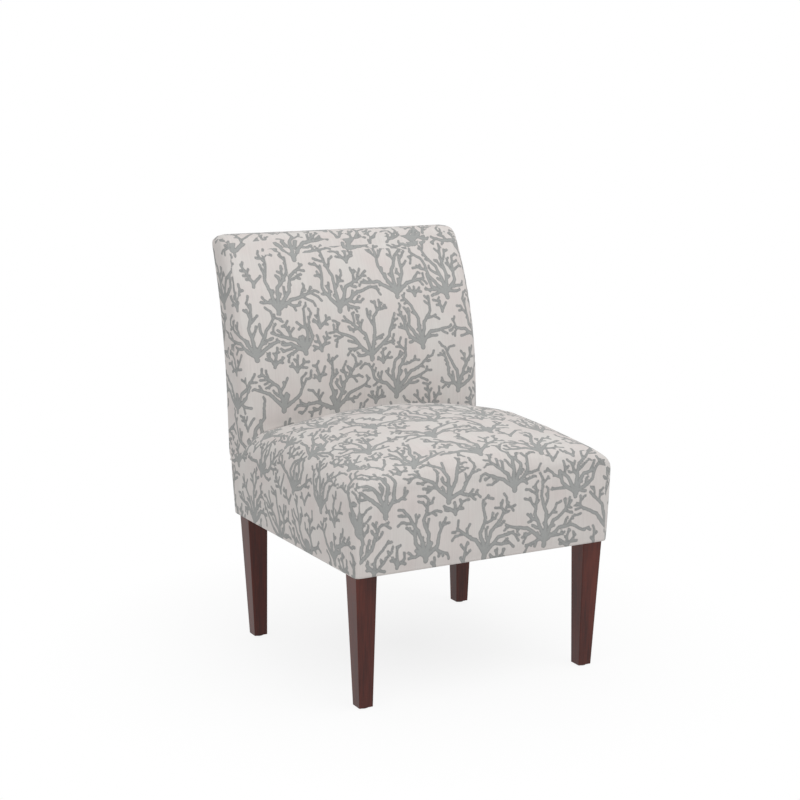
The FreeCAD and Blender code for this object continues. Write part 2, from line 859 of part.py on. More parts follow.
def build():
    """Every piece of the chair by its name."""
    pieces = {}
    for side, row in each_corner():
        hand = "left" if side < 0 else "right"
        pieces["leg_" + row + "_" + hand] = leg(side, row)
        pieces["corner_block_" + row + "_" + hand] = corner_block(side, row)
    for side, hand in ((-1, "left"), (1, "right")):
        pieces["frame_side_" + hand] = jointed(side_frame(side))
    for place in back_rail_spans():
        pieces["back_" + place + "_rail"] = back_rail(place)
    wall = back_wall()
    pieces.update({
        "foot_glides": foot_glides(),
        "leg_hanger_bolts": bolt_rods(),
        "leg_threaded_inserts": leg_threaded_inserts(),
        "corner_block_screws": all_block_screws(),
        "seat_front_rail": seat_rail(seat_rail_depths[0]),
        "seat_rear_rail": seat_rail(seat_rail_depths[1]),
        "seat_webbing_lengthwise": seat_webbing(True),
        "seat_webbing_crosswise": seat_webbing(False),
        "seat_deck_cloth": seat_deck_cloth(),
        "seat_foam": seat_foam(),
        "seat_batting": seat_batting(),
        "seat_cover": seat_cover(),
        "dust_cover": dust_cover(),
        "back_webbing": back_webbing(),
        "back_foam": back_foam(),
        "back_batting": back_batting(),
        "back_cover": above_seat(wall.cut(rear_window(0.0))),
        "outside_back_board": outside_back_board(),
        "outside_back_panel": wall.common(rear_window(layer_gap)),
    })
    return pieces


os.makedirs("parts", exist_ok=True)
for name, shape in build().items():
    save(name, shape)
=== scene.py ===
import math
import random
from collections import namedtuple

import bmesh
import bpy
import numpy as np
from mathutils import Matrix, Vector
from mathutils.bvhtree import BVHTree
from mathutils.kdtree import KDTree


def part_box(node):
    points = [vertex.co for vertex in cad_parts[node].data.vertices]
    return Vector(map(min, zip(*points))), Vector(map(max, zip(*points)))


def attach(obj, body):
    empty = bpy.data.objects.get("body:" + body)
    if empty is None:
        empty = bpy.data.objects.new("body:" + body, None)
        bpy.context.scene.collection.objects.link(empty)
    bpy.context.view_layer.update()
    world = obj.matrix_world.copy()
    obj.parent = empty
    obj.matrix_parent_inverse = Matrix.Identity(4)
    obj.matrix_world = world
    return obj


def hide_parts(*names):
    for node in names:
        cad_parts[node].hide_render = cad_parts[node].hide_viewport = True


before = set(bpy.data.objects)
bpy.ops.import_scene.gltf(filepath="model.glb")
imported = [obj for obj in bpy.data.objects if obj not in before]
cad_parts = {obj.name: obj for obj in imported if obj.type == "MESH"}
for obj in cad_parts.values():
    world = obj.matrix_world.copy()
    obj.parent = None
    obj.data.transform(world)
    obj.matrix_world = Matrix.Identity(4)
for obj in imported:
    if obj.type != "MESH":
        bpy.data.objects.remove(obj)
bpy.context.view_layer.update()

bl_info = {
    "name": "Slipper Chair",
    "version": (1, 0, 0),
    "blender": (4, 5, 0),
    "location": "View3D > Sidebar > Chair",
    "description": "Dresses the frame of an armless slipper chair in printed cloth and stained wood",
    "category": "Add Mesh",
}

# The print's half-drop rows, as the distance across, the distance up and the height of a sprig.
WIDE_REPEAT = (0.138, 0.104, 0.118)
SIDE_REPEAT = (0.128, 0.100, 0.112)

# The stretches of flat cloth that are printed, each with its random seed, then its left, right, lower
# and upper ends. On the seat's sides the distance runs on from the front corner.
SEAT_TOP_PRINT = (5, (-0.280, 0.280, -0.005, 0.76))
SEAT_LEFT_PRINT = (6, (-0.91, -0.315, -0.005, 0.235))
SEAT_RIGHT_PRINT = (7, (0.315, 0.91, -0.005, 0.235))
SEAT_REAR_PRINT = (9, (-0.262, 0.262, -0.005, 0.24))
BACK_PRINT = (8, (-0.40, 0.40, 0.0, 0.60))
OUTSIDE_BACK_PRINT = (21, (-0.28, 0.28, -0.03, 0.45))


def number_prop(name, description, default, unit="LENGTH"):
    """A number that the sidebar shows, in metres unless another unit is given."""
    return bpy.props.FloatProperty(name=name, description=description, default=default, unit=unit)


def colour_prop(name, description, default):
    """A colour that the sidebar shows, in the amounts in which it is seen."""
    return bpy.props.FloatVectorProperty(name=name, description=description, default=default,
                                         subtype="COLOR_GAMMA", min=0, max=1)


class ClothSettings(bpy.types.PropertyGroup):
    """Sizes and colours of the printed cloth and of the cloth under the seat."""

    pitch: number_prop("Thread step", "Spacing of the cloth's points before it is made finer", 0.0064)
    corner_fold: number_prop("Corner fold", "Distance of the folded edge at the front from the side", 0.012)
    fold_step: number_prop("Fold step", "How far the cloth beyond the folded edge lies back", 0.0005)
    seat_swell: number_prop("Seat swell", "Furthest that the filling may push the seat's cloth", 0.004)
    back_swell: number_prop("Back swell", "Furthest that the filling may push the back's cloth", 0.004)
    seat_belly: number_prop("Seat belly", "How far the seat's walls stand out halfway up", 0.002)
    back_belly: number_prop("Back belly", "How far the back's sides stand out", 0.0005)
    clear: number_prop("Clearance", "Least distance of the cloth outside the frame's covers", 0.0015)
    panel_lift: number_prop("Panel lift", "How far the outside back cloth stands proud of the back", 0.0012)
    dust_sag: number_prop("Dust cloth sag", "How far the cloth under the seat sags in its middle", 0.004)
    ground: colour_prop("Ground", "Colour of the plain cloth between the sprigs", (0.855, 0.842, 0.828))
    ground_blush: colour_prop("Ground blush", "Colour of the warmer threads of the ground",
                              (0.845, 0.812, 0.800))
    coral: colour_prop("Coral", "Colour of the printed sprigs", (0.640, 0.645, 0.640))
    coral_edge: colour_prop("Coral edge", "Colour of the sprigs' outline", (0.545, 0.550, 0.548))
    dust_cloth: colour_prop("Dust cloth", "Colour of the thin cloth under the seat", (0.13, 0.13, 0.135))


class WoodSettings(bpy.types.PropertyGroup):
    """Colours of the stained legs and of the hidden frame."""

    stain_dark: colour_prop("Dark grain", "Darkest streaks of the stained legs", (0.225, 0.075, 0.050))
    stain_light: colour_prop("Light grain", "Lightest streaks of the stained legs", (0.40, 0.165, 0.115))
    ply: colour_prop("Plywood", "Colour of the side frames and rails", (0.80, 0.68, 0.52))
    block: colour_prop("Corner blocks", "Colour of the solid corner blocks", (0.74, 0.60, 0.44))


class StageSettings(bpy.types.PropertyGroup):
    """Camera and light."""

    eye: bpy.props.FloatVectorProperty(
        name="Eye", description="Where the camera stands", subtype="TRANSLATION",
        default=(-1.6260, -2.9504, 1.1503))
    aim: bpy.props.FloatVectorProperty(
        name="Aim", description="The direction in which the camera looks", subtype="DIRECTION",
        default=(0.47227, 0.86194, -0.18446))
    lens: number_prop("Lens", "Focal length in millimetres on a 36 mm wide sensor", 75.32, "CAMERA")
    daylight: number_prop("Daylight", "Strength of the even light from all round", 0.62, "NONE")
    key_light: number_prop("Key light", "Power of the large lamp above the front", 42.0, "POWER")
    fill_light: number_prop("Fill light", "Power of the weak lamp at the left", 9.0, "POWER")
    floor: colour_prop("Floor", "Colour of the floor", (0.93, 0.93, 0.93))


def linear(colour):
    """A colour as it is seen, turned into amounts of light."""
    parts = [c / 12.92 if c < 0.04045 else ((c + 0.055) / 1.055) ** 2.4 for c in colour]
    return (*parts, 1.0)


class Value:
    """A number that varies over a surface, so that shader maths can be written as Python."""

    def __init__(self, finish, socket):
        self.finish = finish
        self.socket = socket

    def maths(self, operation, *values):
        return self.finish.number("ShaderNodeMath", {"operation": operation}, *values)

    def __add__(self, other):
        return self.maths("ADD", self, other)

    __radd__ = __add__

    def __sub__(self, other):
        return self.maths("SUBTRACT", self, other)

    def __rsub__(self, other):
        return self.maths("SUBTRACT", other, self)

    def __mul__(self, other):
        return self.maths("MULTIPLY", self, other)

    __rmul__ = __mul__

    def __truediv__(self, other):
        return self.maths("DIVIDE", self, other)

    def clamped(self):
        return self.finish.number("ShaderNodeClamp", {}, self)


class Finish:
    """A material with its nodes."""

    def __init__(self, name, **shader):
        self.material = bpy.data.materials.new(name)
        self.material.use_nodes = True
        self.tree = self.material.node_tree
        self.tree.nodes.clear()
        self.shader = self.node("ShaderNodeBsdfPrincipled", {}, **shader)
        self.output = self.node("ShaderNodeOutputMaterial", {}, Surface=self.shader.outputs[0])

    def node(self, kind, settings, *values, **sockets):
        """A node with its settings made first, then its sockets given values or links."""
        made = self.tree.nodes.new(kind)
        for name, value in settings.items():
            setattr(made, name, value)
        pairs = list(enumerate(values))
        by_id = {s.identifier: i for i, s in enumerate(made.inputs)}
        by_name = {s.name.replace(" ", "_"): i for i, s in reversed(list(enumerate(made.inputs)))}
        for name, value in sockets.items():
            pairs.append((by_id.get(name, by_name.get(name)), value))
        for place, value in pairs:
            if isinstance(value, Value):
                value = value.socket
            if isinstance(value, bpy.types.NodeSocket):
                self.tree.links.new(value, made.inputs[place])
            else:
                made.inputs[place].default_value = value
        return made

    def number(self, kind, settings, *values, output=0, **sockets):
        return Value(self, self.node(kind, settings, *values, **sockets).outputs[output])

    def mix(self, share, a, b):
        """One colour shading into another, each of them a link or a colour as it is seen."""
        a, b = (c if isinstance(c, bpy.types.NodeSocket) else linear(c) for c in (a, b))
        made = self.node("ShaderNodeMix", {"data_type": "RGBA"}, Factor_Float=share, A_Color=a, B_Color=b)
        return next(s for s in made.outputs if s.identifier == "Result_Color")

    def place(self, scale=(1, 1, 1), uv=None, turn=(0, 0, 0)):
        """Coordinates of the object, or of one of its flat maps, stretched and turned."""
        if uv:
            source = self.node("ShaderNodeUVMap", {"uv_map": uv}).outputs[0]
        else:
            source = self.node("ShaderNodeTexCoord", {}).outputs["Object"]
        return self.node("ShaderNodeMapping", {}, Vector=source, Scale=scale, Rotation=turn).outputs[0]

    def noise(self, where, scale, detail=2.0, rough=0.5):
        return self.number("ShaderNodeTexNoise", {}, Vector=where, Scale=scale, Detail=detail,
                           Roughness=rough)

    def feed(self, **sockets):
        """Link what varies over the surface to the shader."""
        for name, value in sockets.items():
            socket = value.socket if isinstance(value, Value) else value
            self.tree.links.new(socket, self.shader.inputs[name.replace("_", " ")])

    def bump(self, height, distance, strength):
        made = self.node("ShaderNodeBump", {}, Strength=strength, Distance=distance, Height=height)
        self.feed(Normal=made.outputs[0])


def weave(finish, where, threads):
    """Height of a plain weave: warp and weft that pass over each other."""
    across = finish.number("ShaderNodeTexWave", {"bands_direction": "X"}, Vector=where, Scale=threads,
                           Distortion=0.6, Detail=1.0, output=1)
    down = finish.number("ShaderNodeTexWave", {"bands_direction": "Y"}, Vector=where, Scale=threads,
                         Distortion=0.6, Detail=1.0, output=1)
    return across * 0.5 + down * 0.5


def printed_cloth():
    """Cotton and linen cloth with a streaky ground and grey coral sprigs."""
    cloth = bpy.context.scene.chair_cloth
    finish = Finish("printed_cotton", Roughness=0.92, Specular_IOR_Level=0.18, Sheen_Weight=0.12,
                    Sheen_Roughness=0.5)
    flat = finish.place(uv="flat_cloth")
    streak_place = finish.place(scale=(1, 0.03, 1), uv="flat_cloth")
    streaks = finish.noise(streak_place, 420.0, 3.0, 0.65)
    blush = finish.noise(flat, 14.0, 2.0)
    threads = weave(finish, flat, 260.0)
    bleed = 0.0004
    fray = 0.0020
    soft_edge = 0.0012
    outline = 0.0014
    soft_outline = 0.0016
    distance = finish.number("ShaderNodeAttribute", {"attribute_name": "sprig"}, output=2)
    ragged = distance - bleed + (finish.noise(flat, 900.0, 1.0) - 0.5) * fray
    inside = (0.5 - ragged / soft_edge).clamped()
    core = (0.5 - (ragged + outline) / soft_outline).clamped()
    slubs = (streaks * 3.0 - 1.1).clamped()
    speckle = finish.noise(flat, 330.0, 3.0, 0.75)
    ground = finish.mix((blush * 2.2 - 0.6).clamped(), cloth.ground, cloth.ground_blush)
    ground = finish.mix(slubs * 0.16, ground, (0.64, 0.63, 0.61))
    coral = finish.mix(core, cloth.coral_edge, cloth.coral)
    coral = finish.mix((speckle * 4.0 - 1.8).clamped() * 0.40, coral, (0.72, 0.72, 0.71))
    coral = finish.mix(slubs * 0.12, coral, (0.48, 0.48, 0.47))
    finish.feed(Base_Color=finish.mix(inside, ground, coral))
    finish.bump(threads + streaks * 0.6, 0.00025, 0.35)
    return finish.material


def stained_wood():
    """Hardwood stained a deep red brown, with satin lacquer."""
    wood = bpy.context.scene.chair_wood
    finish = Finish("stained_leg_wood", Specular_IOR_Level=0.28, Coat_Weight=0.12, Coat_Roughness=0.25)
    grain = finish.noise(finish.place(scale=(1, 1, 0.05)), 260.0, 4.0, 0.6)
    figure = finish.noise(finish.place(scale=(1, 1, 0.16)), 30.0, 3.0)
    share = (grain * 1.4 + figure * 1.2 - 0.9).clamped()
    finish.feed(Base_Color=finish.mix(share, wood.stain_dark, wood.stain_light))
    finish.feed(Roughness=0.30 + grain * 0.14)
    finish.bump(grain, 0.00012, 0.3)
    return finish.material


def plywood():
    """Birch plywood: long grain with faint layers."""
    wood = bpy.context.scene.chair_wood
    finish = Finish("birch_plywood", Roughness=0.7)
    grain = finish.noise(finish.place(scale=(1, 1, 0.06)), 180.0, 3.0)
    layers = finish.number("ShaderNodeTexWave", {"bands_direction": "X"}, Vector=finish.place(),
                           Scale=110.0, Distortion=0.4, output=1)
    colour = finish.mix((grain * 1.6 - 0.4).clamped(), wood.ply, (0.70, 0.56, 0.40))
    finish.feed(Base_Color=finish.mix(layers * 0.15, colour, (0.55, 0.42, 0.30)))
    finish.bump(grain, 0.0002, 0.4)
    return finish.material


def block_wood():
    """Sawn hardwood of the corner blocks."""
    wood = bpy.context.scene.chair_wood
    finish = Finish("sawn_block_wood", Roughness=0.75)
    grain = finish.noise(finish.place(scale=(0.08, 1, 1)), 210.0, 3.0)
    finish.feed(Base_Color=finish.mix(grain, wood.block, (0.60, 0.46, 0.32)))
    finish.bump(grain, 0.0003, 0.4)
    return finish.material


def foam():
    """Open-celled cream foam."""
    finish = Finish("cream_foam", Roughness=0.95)
    cells = finish.number("ShaderNodeTexVoronoi", {}, Vector=finish.place(), Scale=620.0)
    colour = finish.mix(cells.clamped(), (0.93, 0.89, 0.74), (0.86, 0.81, 0.64))
    finish.feed(Base_Color=colour)
    finish.bump(cells, 0.0008, 0.5)
    return finish.material


def wadding():
    """White polyester wadding with tangled fibres."""
    finish = Finish("white_wadding", Roughness=1.0, Sheen_Weight=0.3)
    fibres = finish.noise(finish.place(), 340.0, 5.0, 0.7)
    finish.feed(Base_Color=finish.mix(fibres, (0.94, 0.94, 0.93), (0.84, 0.84, 0.83)))
    finish.bump(fibres, 0.001, 0.5)
    return finish.material


def webbing():
    """Jute webbing: woven threads with darker slubs."""
    finish = Finish("jute_webbing", Roughness=0.9)
    threads = weave(finish, finish.place(), 190.0)
    slubs = finish.noise(finish.place(), 120.0, 3.0)
    colour = finish.mix(threads, (0.70, 0.56, 0.37), (0.56, 0.43, 0.27))
    finish.feed(Base_Color=finish.mix(slubs * 0.4, colour, (0.42, 0.31, 0.19)))
    finish.bump(threads, 0.0006, 0.6)
    return finish.material


def plain_cloth(name, colour, shade, threads):
    """A plain woven cloth in one colour."""
    finish = Finish(name, Roughness=0.95)
    woven = weave(finish, finish.place(), threads)
    patches = finish.noise(finish.place(), 45.0, 3.0)
    tone = finish.mix((woven * 0.5 + patches * 0.5).clamped(), colour, shade)
    finish.feed(Base_Color=tone)
    finish.bump(woven, 0.0003, 0.5)
    return finish.material


def pressed_board():
    """Grey pressed board with short fibres."""
    finish = Finish("pressed_board", Roughness=0.85)
    fibres = finish.noise(finish.place(scale=(1, 1, 0.3)), 420.0, 4.0)
    finish.feed(Base_Color=finish.mix(fibres, (0.60, 0.55, 0.48), (0.46, 0.42, 0.36)))
    finish.bump(fibres, 0.0002, 0.4)
    return finish.material


def zinc_steel():
    """Zinc-plated steel of bolts, inserts and screws."""
    finish = Finish("zinc_steel", Metallic=1.0)
    marks = finish.noise(finish.place(), 300.0, 2.0)
    finish.feed(Base_Color=finish.mix(marks, (0.78, 0.78, 0.76), (0.66, 0.67, 0.68)))
    finish.feed(Roughness=0.28 + marks * 0.18)
    return finish.material


def glide_plastic():
    """Grey nylon of the discs under the feet."""
    finish = Finish("grey_nylon", Roughness=0.5)
    marks = finish.noise(finish.place(), 220.0, 2.0)
    finish.feed(Base_Color=finish.mix(marks, (0.60, 0.60, 0.59), (0.52, 0.52, 0.51)))
    finish.bump(marks, 0.0001, 0.3)
    return finish.material


def outer_surface(*nodes, hull=False):
    """A search tree of one or several frame pieces, or of the tight skin round them."""
    bm = bmesh.new()
    for name in nodes:
        bm.from_mesh(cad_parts[name].data)
    if hull:
        bmesh.ops.convex_hull(bm, input=bm.verts)
        loose = [v for v in bm.verts if not v.link_faces]
        bmesh.ops.delete(bm, geom=loose, context="VERTS")
    tree = BVHTree.FromBMesh(bm)
    bm.free()
    return tree


def grid_box(steps):
    """A cube from 0 to 1, cut evenly into the given number of steps along X, Y and Z."""
    bm = bmesh.new()
    bmesh.ops.create_cube(bm, size=1.0)
    bmesh.ops.translate(bm, verts=bm.verts, vec=(0.5, 0.5, 0.5))
    for axis, count in enumerate(steps):
        edges = [e for e in bm.edges if abs((e.verts[0].co - e.verts[1].co)[axis]) > 0.5]
        bmesh.ops.subdivide_edges(bm, edges=edges, cuts=count - 1, use_grid_fill=True)
    bm.verts.index_update()
    return bm


def steps_for(low, high, pitch):
    return [max(2, round((b - a) / pitch)) for a, b in zip(low, high)]


def onto(tree, place, centre, reach):
    """The surface point met when coming from outside, through a place, towards a centre."""
    outward = (place - centre).normalized()
    start = place + outward * reach
    hit = tree.ray_cast(start, -outward, (start - centre).length)[0]
    return hit if hit else place


def even_out(bm, free, times):
    """Smooth the cloth's free points a number of times, and turn its faces outwards."""
    for _ in range(times):
        bmesh.ops.smooth_vert(bm, verts=free, factor=0.5, use_axis_x=True, use_axis_y=True,
                              use_axis_z=True)
    bmesh.ops.recalc_face_normals(bm, faces=bm.faces)


def finished(name, bm):
    """A mesh object at the origin, linked to the scene."""
    mesh = bpy.data.meshes.new(name)
    bm.to_mesh(mesh)
    bm.free()
    piece = bpy.data.objects.new(name, mesh)
    bpy.context.scene.collection.objects.link(piece)
    return piece


def values(items, name, width=1, kind=float):
    """One value of every item of a mesh, or several side by side."""
    found = np.empty(len(items) * width, kind)
    items.foreach_get(name, found)
    return found.reshape(-1, width) if width > 1 else found


def positions(mesh):
    """Where the mesh's points are, one row each."""
    return values(mesh.vertices, "co", 3)


def set_positions(mesh, places):
    """Move the mesh's points to these places."""
    mesh.vertices.foreach_set("co", places.astype(np.float32).ravel())
    mesh.update()


def fill_with_pressure(piece, held, limit):
    """Let the filling push the cloth out, with its tacked edges held, each point within a limit."""
    pressure = 3.0
    last_frame = 20
    smoothings = 12
    before = positions(piece.data)
    group = piece.vertex_groups.new(name="tacked")
    group.add(held, 1.0, "REPLACE")
    cloth = piece.modifiers.new("filling", "CLOTH")
    cloth.settings.quality = 6
    cloth.settings.mass = 0.25
    cloth.settings.tension_stiffness = 40
    cloth.settings.compression_stiffness = 40
    cloth.settings.shear_stiffness = 12
    cloth.settings.bending_stiffness = 2.0
    cloth.settings.air_damping = 4
    cloth.settings.use_pressure = True
    cloth.settings.uniform_pressure_force = pressure
    cloth.settings.effector_weights.gravity = 0
    cloth.settings.vertex_group_mass = group.name
    scene = bpy.context.scene
    for number in range(last_frame):
        scene.frame_set(number + 1)
    evaluated = piece.evaluated_get(bpy.context.evaluated_depsgraph_get())
    moved = positions(evaluated.to_mesh()) - before
    evaluated.to_mesh_clear()
    piece.modifiers.remove(cloth)
    piece.vertex_groups.clear()
    scene.frame_set(1)
    normals = point_normals(piece.data)
    swell = np.clip((moved * normals).sum(1), 0, limit)
    ends = values(piece.data.edges, "vertices", 2, np.int64)
    neighbours = np.bincount(ends.ravel(), minlength=len(swell))
    for _ in range(smoothings):
        total = np.bincount(ends[:, 0], swell[ends[:, 1]], len(swell))
        total += np.bincount(ends[:, 1], swell[ends[:, 0]], len(swell))
        swell = 0.5 * swell + 0.5 * total / neighbours
        swell[held] = 0
    set_positions(piece.data, before + normals * swell[:, None])


def kept_outside(piece, skin, clear, lowest=0.0):
    """Move the points that sank below the frame's skin back out along their own normals."""
    reach = 0.02
    places = positions(piece.data)
    normals = point_normals(piece.data)
    for number in np.flatnonzero(places[:, 2] > lowest):
        outward = Vector(normals[number])
        hit = skin.ray_cast(Vector(places[number]) + outward * reach, -outward, 2 * reach)[0]
        if hit:
            missing = (hit - Vector(places[number])).dot(outward) + clear
            places[number] += normals[number] * max(missing, 0)
    set_positions(piece.data, places)


def made_finer(piece):
    """Subdivide the cloth and keep the result as its mesh."""
    finer = piece.modifiers.new("finer", "SUBSURF")
    finer.levels = 1
    finer.render_levels = 1
    evaluated = piece.evaluated_get(bpy.context.evaluated_depsgraph_get())
    mesh = bpy.data.meshes.new_from_object(evaluated)
    piece.modifiers.remove(finer)
    old = piece.data
    piece.data = mesh
    mesh.name = piece.name
    bpy.data.meshes.remove(old)
    mesh.shade_smooth()


def stood_out(piece, low, high, belly, top, front_too):
    """Let the sides, and at the seat the front as well, stand out between the hem and a height."""
    roundness = 0.7
    side_falloff = 6
    front_zone = 0.06
    places = positions(piece.data)
    share = np.clip((places[:, 2] - low.z) / (top - low.z), 0, 1)
    swell = belly * np.sin(math.pi * share) ** roundness
    half = (high.x - low.x) / 2
    places[:, 0] *= 1 + swell / half * np.minimum(np.abs(places[:, 0]) / half, 1) ** side_falloff
    if front_too:
        nearness = np.clip(1 - (places[:, 1] - low.y) / front_zone, 0, 1)
        places[:, 1] -= swell * nearness ** 2
    set_positions(piece.data, places)


def one_flat_face(piece, height):
    """Join the hidden flat faces at the bottom of the cloth into one."""
    top = height + 0.0002
    bm = bmesh.new()
    bm.from_mesh(piece.data)
    flat = [f for f in bm.faces if f.normal.z < -0.999 and f.calc_center_median().z < top]
    bmesh.ops.dissolve_faces(bm, faces=flat, use_verts=False)
    bm.to_mesh(piece.data)
    bm.free()


Site = namedtuple("Site", "x y heading radius left level branch sprig")


class Coral:
    """Coral sprigs that grow over a window of the flat cloth, each twig until it meets another."""

    stride = 0.005
    clear = 0.0030
    foot = 0.0054
    bough = 0.0042
    small_foot = 0.0034
    small_bough = 0.0030
    tip = 0.0023
    knob = 1.15
    wander = 0.22
    aside = 0.35
    most_dots = 60000

    def __init__(self, seed, window):
        self.chance = random.Random(seed)
        self.window = window
        self.places = np.empty((self.most_dots, 3))
        self.owner = np.empty(self.most_dots, np.int64)
        self.sprig_of = np.empty(self.most_dots, np.int64)
        self.sprig_number = 0
        self.count = 0
        self.branches = 0
        self.sites = []

    def free(self, x, y, radius, mine, parent, kin):
        """Whether a stroke's end has clear cloth round it, apart from its own family's roots."""
        a0, a1, b0, b1 = self.window
        if not (a0 < x < a1 and b0 < y < b1):
            return False
        near = self.places[:self.count]
        gap = np.hypot(near[:, 0] - x, near[:, 1] - y) - near[:, 2] - radius
        others = (self.owner[:self.count] != mine) & (self.owner[:self.count] != parent)
        others &= self.sprig_of[:self.count] != kin
        return not (gap[others] < self.clear).any()

    def mark(self, x, y, radius, mine, sprig):
        """Put down one dot of a branch."""
        self.places[self.count] = (x, y, radius)
        self.owner[self.count] = mine
        self.sprig_of[self.count] = sprig
        self.count += 1

    def branch(self, x, y, heading, length, thick, curl, level, sprig, parent=-1):
        """Grow one branch by a stride at a time, turning aside where the way is taken."""
        mine = self.branches
        self.branches += 1
        count = max(2, round(length / self.stride))
        fork = round(count * self.chance.uniform(0.30, 0.50)) if level == 0 else -1
        for number in range(count):
            share = number / count
            radius = thick + (self.tip - thick) * share
            if number == count - 1:
                radius *= self.knob
            way_ahead = heading + curl * self.stride * number
            way_ahead += self.chance.uniform(-self.wander, self.wander)
            ignored = parent if number < 3 else -1
            kin = sprig if level == 0 and number < 5 else -1
            for turn in (0.0, self.aside, -self.aside):
                way = way_ahead + turn
                x1 = x + math.sin(way) * self.stride
                y1 = y + math.cos(way) * self.stride
                if self.free(x1, y1, radius, mine, ignored, kin):
                    break
            else:
                return
            for part in (0.5, 1.0):
                self.mark(x + (x1 - x) * part, y + (y1 - y) * part, radius, mine, sprig)
            x, y = x1, y1
            if number > 0:
                self.sites.append(Site(x, y, way_ahead, radius, length * (1 - share), level, mine, sprig))
            if number == fork and length > 0.06:
                side = self.chance.choice((-1, 1))
                self.growing.append(self.branch(x, y, way_ahead + side * 0.6, length * (1 - share) * 0.9,
                                                radius, -side * self.chance.uniform(3, 8), 0, sprig, mine))
            yield

    def run(self, growing):
        """Let all the branches grow side by side until each has ended."""
        self.growing = growing
        while self.growing:
            now, self.growing = self.growing, []
            for one in now:
                if next(one, "ended") != "ended":
                    self.growing.append(one)

    def twigs(self, level, longest):
        """Twigs at every other stride, left and right in turn, of the branches one level below."""
        sites = [site for site in self.sites if site.level == level - 1]
        self.sites = [site for site in self.sites if site.level != level - 1]
        growing = []
        for number, site in enumerate(sites[::2]):
            side = 1 if number % 2 else -1
            length = min(longest, 0.35 * site.left + 0.010) * self.chance.uniform(0.75, 1.25)
            heading = site.heading + side * self.chance.uniform(0.65, 1.0)
            growing.append(self.branch(site.x, site.y, heading, length, max(site.radius * 0.82, self.tip),
                                       -side * self.chance.uniform(5, 20), level, site.sprig,
                                       site.branch))
        self.run(growing)

    def sprig(self, x, y, height, counts, foot, bough):
        """Plant a sprig of some main branches, fanned out from its root and still to grow."""
        self.sprig_number += 1
        branches = self.chance.choice(counts)
        lean = self.chance.uniform(-0.22, 0.22)
        spread = self.chance.uniform(1.05, 1.35)
        mains = []
        for number in range(branches):
            share = (number + 0.5) / branches * 2 - 1
            heading = lean + share * spread + self.chance.uniform(-0.10, 0.10)
            length = height * (1.0 - 0.22 * abs(share)) * self.chance.uniform(0.85, 1.1)
            curl = -share * self.chance.uniform(2.0, 7.0)
            start = height * 0.10 * (1 - 0.5 * abs(share))
            start_x = x + math.sin(lean) * start
            start_y = y + math.cos(lean) * start
            self.stem(x, y, start_x, start_y, foot)
            mains.append(self.branch(start_x, start_y, heading, length, bough, curl, 0, self.sprig_number))
        return mains

    def grown(self, across, up, height):
        """Sprigs in half-drop rows, then their twigs, then the knobs on the twigs."""
        shift = 0.016
        a0, a1, b0, b1 = self.window
        mains = []
        for row in range(-1, math.ceil((b1 - b0) / up)):
            for column in range(-1, math.ceil((a1 - a0) / across) + 1):
                x = a0 + (column + (row % 2) / 2) * across + self.chance.uniform(-shift, shift)
                y = b0 + (row + 0.1) * up + self.chance.uniform(-shift, shift)
                size = height * self.chance.uniform(0.85, 1.1)
                mains += self.sprig(x, y, size, (4, 5, 5, 6), self.foot, self.bough)
        self.run(mains)
        self.twigs(level=1, longest=0.034)
        self.twigs(level=2, longest=0.012)
        self.fill_gaps(room=0.021, height=0.058)
        self.fill_gaps(room=0.014, height=0.034)
        return self

    def fill_gaps(self, room, height):
        """Small sprigs wherever a bare patch of the cloth is left."""
        step = 0.012
        shift = 0.004
        a0, a1, b0, b1 = self.window
        for row in range(int((b1 - b0) / step)):
            for column in range(int((a1 - a0) / step)):
                x = a0 + step * column + self.chance.uniform(-shift, shift)
                y = b0 + step * row + self.chance.uniform(-shift, shift)
                if self.free(x, y, room, -1, -1, -1):
                    self.run(self.sprig(x, y - 0.6 * room, height, (2, 3, 3), self.small_foot,
                                        self.small_bough))
                    self.twigs(level=1, longest=0.012)

    def stem(self, x, y, start_x, start_y, radius):
        """The short thick foot of one main branch."""
        for number in range(5):
            share = number / 4
            self.mark(x + (start_x - x) * share, y + (start_y - y) * share, radius, self.branches,
                      self.sprig_number)
        self.branches += 1

    def distance(self, a, b):
        """Signed distance from points of the flat cloth to the nearest sprig's edge."""
        tree = KDTree(self.count)
        for number in range(self.count):
            tree.insert((self.places[number, 0], self.places[number, 1], 0.0), number)
        tree.balance()
        far = 0.02
        found = np.full(len(a), far)
        for number in np.flatnonzero(np.isfinite(a) & np.isfinite(b)):
            _, nearest, gap = tree.find((a[number], b[number], 0.0))
            found[number] = min(gap - self.places[nearest, 2], far)
        return found


def keep_print(mesh, fields):
    """Store the print as each point's distance to the nearest sprig's edge."""
    layer = mesh.attributes.new("sprig", "FLOAT", "POINT")
    layer.data.foreach_set("value", np.minimum.reduce(fields).astype(np.float32))


def keep_flat_map(mesh, chart_of_face, charts):
    """Store the cloth's flat coordinates, taking each face's corners from the chart it lies in."""
    layer = mesh.uv_layers.new(name="flat_cloth")
    corners = values(mesh.loops, "vertex_index", kind=np.int64)
    choice = np.repeat(chart_of_face, values(mesh.polygons, "loop_total", kind=np.int64))
    flat = np.empty((len(corners), 2))
    for number, (a, b) in enumerate(charts):
        mine = choice == number
        flat[mine, 0] = a[corners[mine]]
        flat[mine, 1] = b[corners[mine]]
    layer.data.foreach_set("uv", flat.astype(np.float32).ravel())


def faces_at(mesh, chosen):
    """Which faces start at a chosen point."""
    corners = values(mesh.loops, "vertex_index", kind=np.int64)
    return chosen[corners[values(mesh.polygons, "loop_start", kind=np.int64)]]


def point_normals(mesh):
    """Which way the mesh faces at its points, one row each."""
    return values(mesh.vertices, "normal", 3)


